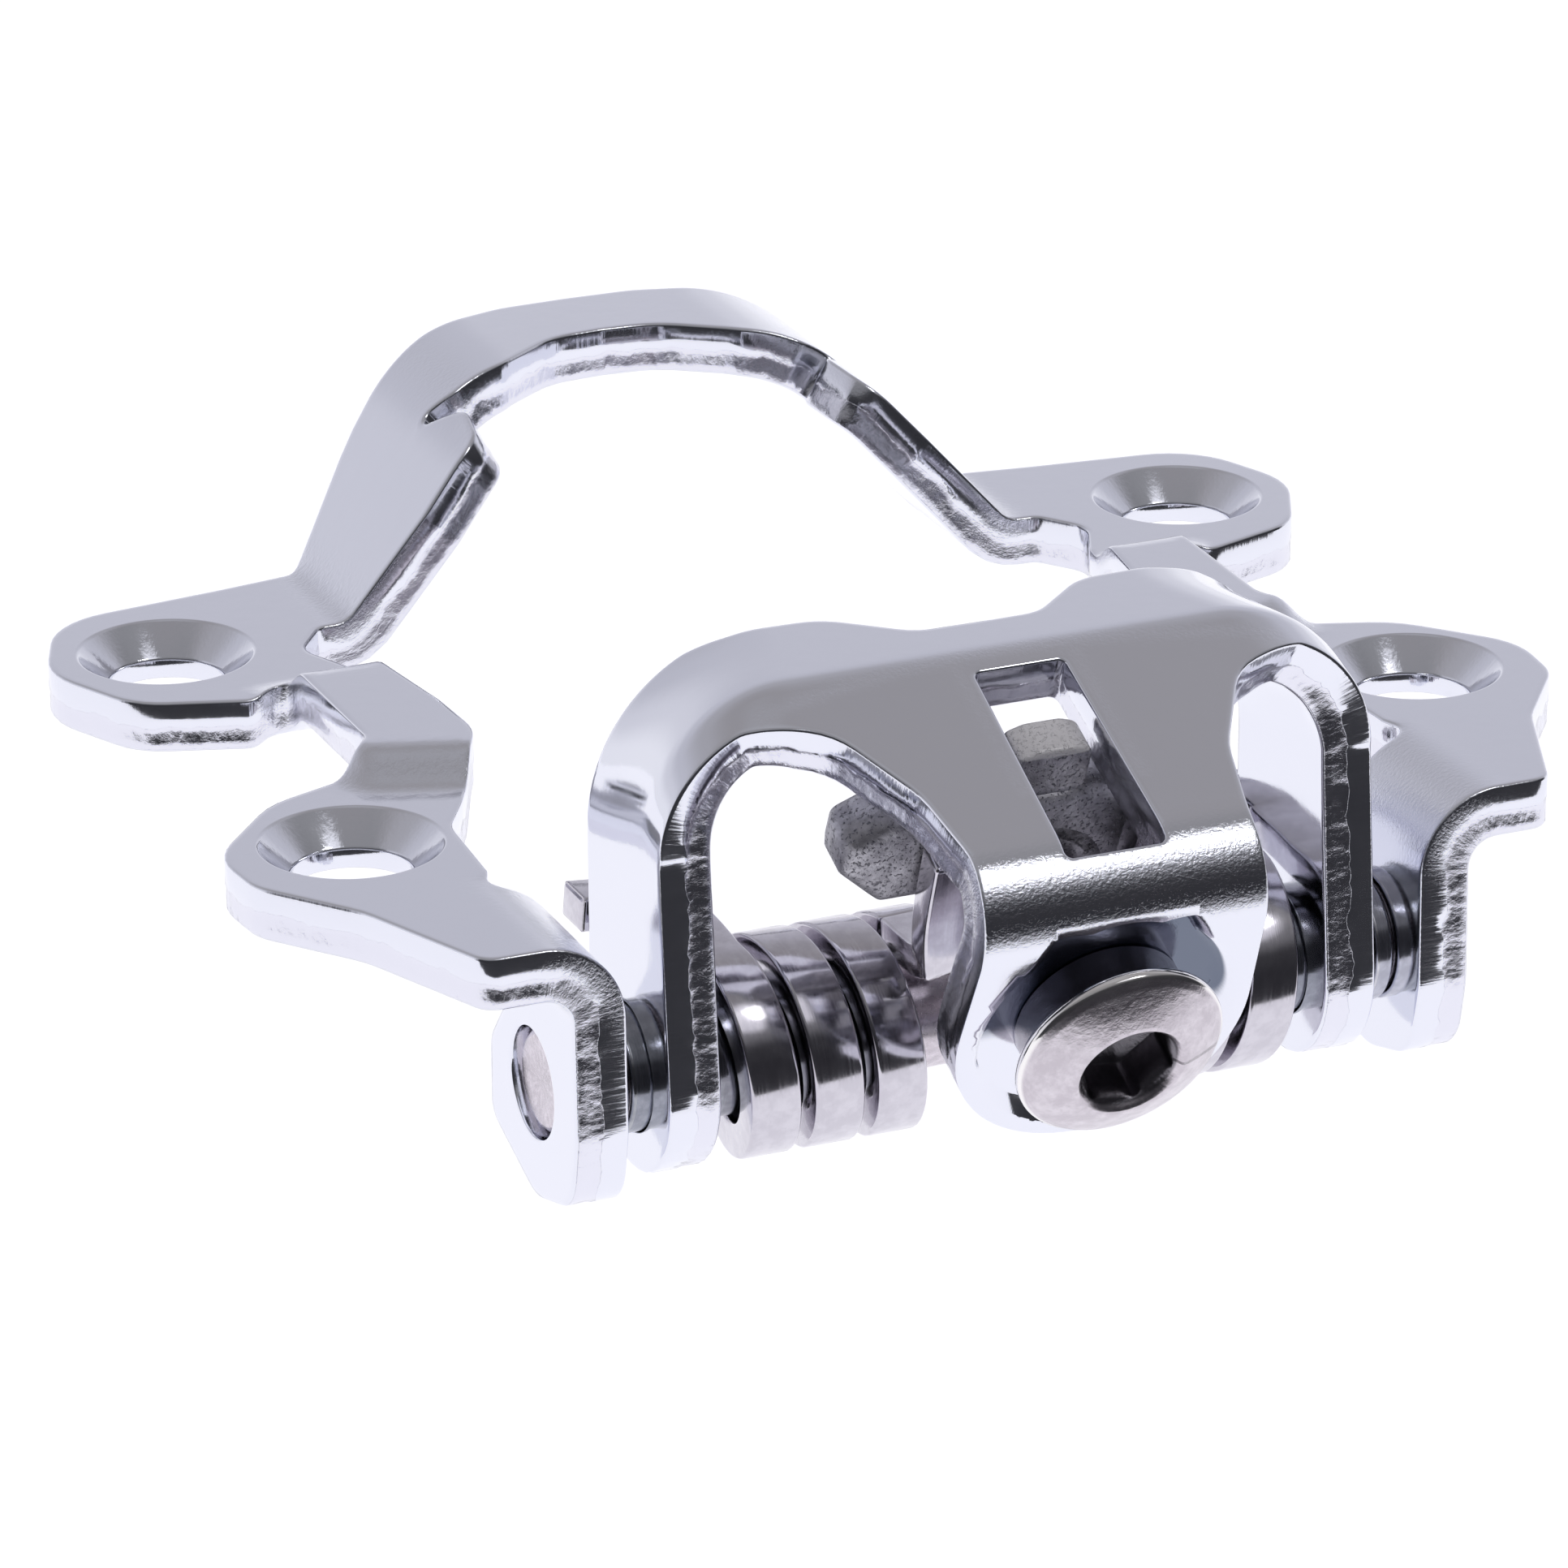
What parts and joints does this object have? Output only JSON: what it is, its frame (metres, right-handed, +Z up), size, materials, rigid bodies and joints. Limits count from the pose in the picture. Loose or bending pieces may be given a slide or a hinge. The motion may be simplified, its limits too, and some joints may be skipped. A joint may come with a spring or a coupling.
{
  "type": "clipless pedal cleat binding",
  "caption": "Sprung cleat retention binding: bent steel plate with fixed front hoop, rear claw on a hinge pin with torsion springs, and a socket-head tension bolt.",
  "frame": {"origin": "centre of the four mounting holes, on the underside of the ears", "axes": "+X to the rider's right along the hinge pin, +Y forwards to the hoop, +Z up towards the shoe"},
  "size_m": [0.066, 0.0691, 0.0239],
  "materials": {
    "chromed_sheet": "mirror polished chrome plate over sheared sheet steel",
    "ground_pin": "ground steel, brushed ends",
    "bushing": "dull turned steel",
    "washer": "turned steel",
    "spring_wire": "nickel-plated flat spring wire with fine lengthwise scratches",
    "sintered_nut": "grey sintered steel, worn bright on the indicator's top",
    "nickel_bolt": "satin nickel plate with a bright rim"
  },
  "bodies": {
    "frame": {"frame_plate": "chromed_sheet", "hinge_pin": "ground_pin", "pivot_bush_left": "bushing", "pivot_bush_right": "bushing", "spacer_washer_left": "washer", "spacer_washer_right": "washer", "spring_left": "spring_wire", "spring_right": "spring_wire"},
    "jaw": {"rear_jaw": "chromed_sheet"},
    "bolt": {"tension_bolt": "nickel_bolt"},
    "nut": {"tension_nut": "sintered_nut"}
  },
  "joints": [
    {"name": "jaw_hinge", "type": "hinge", "parent": "frame", "child": "jaw", "pos_m": [0, -0.0228, -0.0063], "axis": [1, 0, 0], "range_deg": [0, 25], "stiffness_Nm_per_rad": 0.5, "springref_deg": -0.11, "deforming": ["spring_left", "spring_right"]},
    {"name": "bolt_spin", "type": "hinge", "parent": "jaw", "child": "bolt", "pos_m": [0, -0.03593, -0.00201], "axis": [0, -0.9135, -0.4067], "range_deg": [-2160, 1080]},
    {"name": "nut_slide", "type": "slide", "parent": "jaw", "child": "nut", "axis": [0, -0.9135, -0.4067], "range_m": [-0.0024, 0.0048], "deforming": ["spring_left", "spring_right"]}
  ],
  "couplings": [
    {"joint": "bolt_spin", "follows": "nut_slide", "rad_per_m": -7853.9}
  ]
}
